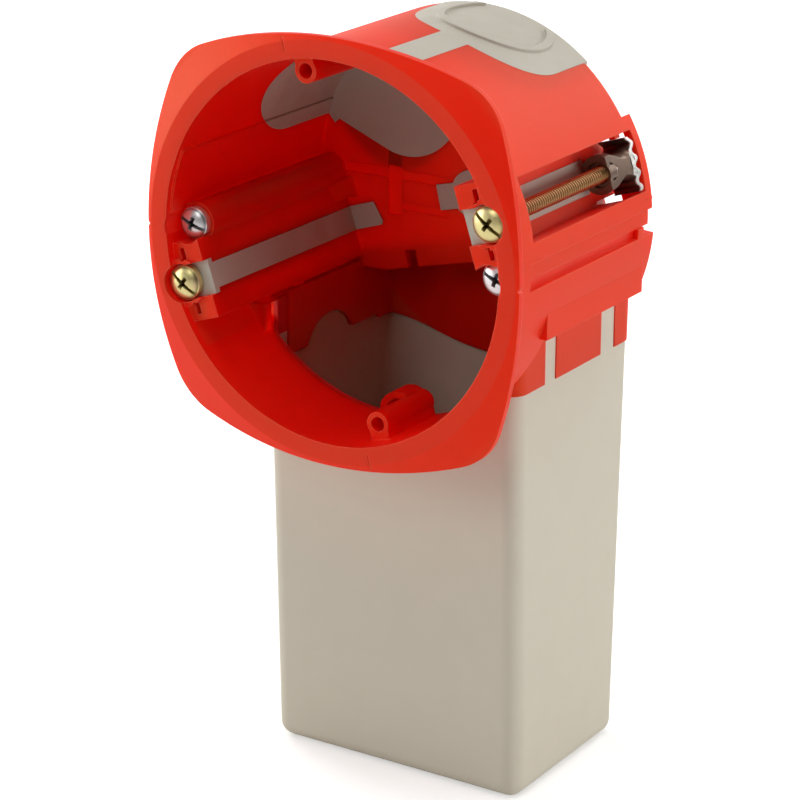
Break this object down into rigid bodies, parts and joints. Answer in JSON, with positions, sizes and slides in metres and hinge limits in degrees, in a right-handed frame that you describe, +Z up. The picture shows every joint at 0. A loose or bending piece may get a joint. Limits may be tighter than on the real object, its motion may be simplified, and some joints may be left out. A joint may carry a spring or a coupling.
{
  "type": "flush back box",
  "caption": "Round flush-mounted wall box with a flanged opening, screw-driven claws, soft cable membranes and a deep pouch below for electronics.",
  "frame": {"origin": "centre of the round device opening, in the front plane of the flange's ring band", "axes": "+Z up, +Y into the wall along the tube, +X to the right seen from the room"},
  "size_m": [0.073, 0.0595, 0.1375],
  "materials": {
    "red_plastic": "moulded, slightly satin",
    "grey_plastic": "moulded, fine matt",
    "soft_grey": "soft matt",
    "yellow_zinc": "yellow passivated",
    "bright_zinc": "zinc plated",
    "dark_steel": "hardened, darkened"
  },
  "bodies": {
    "box": {"box_shell": "red_plastic", "electronics_pouch": "grey_plastic", "cable_membrane": "soft_grey", "right_claw_seal": "soft_grey", "left_claw_seal": "soft_grey", "rear_seal_disc": "soft_grey"},
    "right_claw": {"right_claw": "dark_steel"},
    "left_claw": {"left_claw": "dark_steel"},
    "right_claw_screw": {"right_claw_screw": "yellow_zinc"},
    "left_claw_screw": {"left_claw_screw": "yellow_zinc"},
    "right_device_screw": {"right_device_screw": "bright_zinc"},
    "left_device_screw": {"left_device_screw": "bright_zinc"}
  },
  "joints": [
    {"name": "right_claw_slide", "type": "slide", "parent": "box", "child": "right_claw", "axis": [0, -1, 0], "range_m": [0, 0.0275]},
    {"name": "right_claw_screw_turn", "type": "hinge", "parent": "box", "child": "right_claw_screw", "pos_m": [0.03, 0, 0.0098], "axis": [0, 1, 0], "range_deg": [0, 14150]},
    {"name": "right_device_screw_turn", "type": "hinge", "parent": "box", "child": "right_device_screw", "pos_m": [0.03, 0, 0], "axis": [0, 1, 0], "continuous": true},
    {"name": "left_claw_slide", "type": "slide", "parent": "box", "child": "left_claw", "axis": [0, -1, 0], "range_m": [0, 0.0275]},
    {"name": "left_claw_screw_turn", "type": "hinge", "parent": "box", "child": "left_claw_screw", "pos_m": [-0.03, 0, -0.0098], "axis": [0, 1, 0], "range_deg": [0, 14150]},
    {"name": "left_device_screw_turn", "type": "hinge", "parent": "box", "child": "left_device_screw", "pos_m": [-0.03, 0, 0], "axis": [0, 1, 0], "continuous": true}
  ],
  "couplings": [
    {"joint": "right_claw_screw_turn", "follows": "right_claw_slide", "rad_per_m": 8976},
    {"joint": "left_claw_screw_turn", "follows": "left_claw_slide", "rad_per_m": 8976}
  ]
}
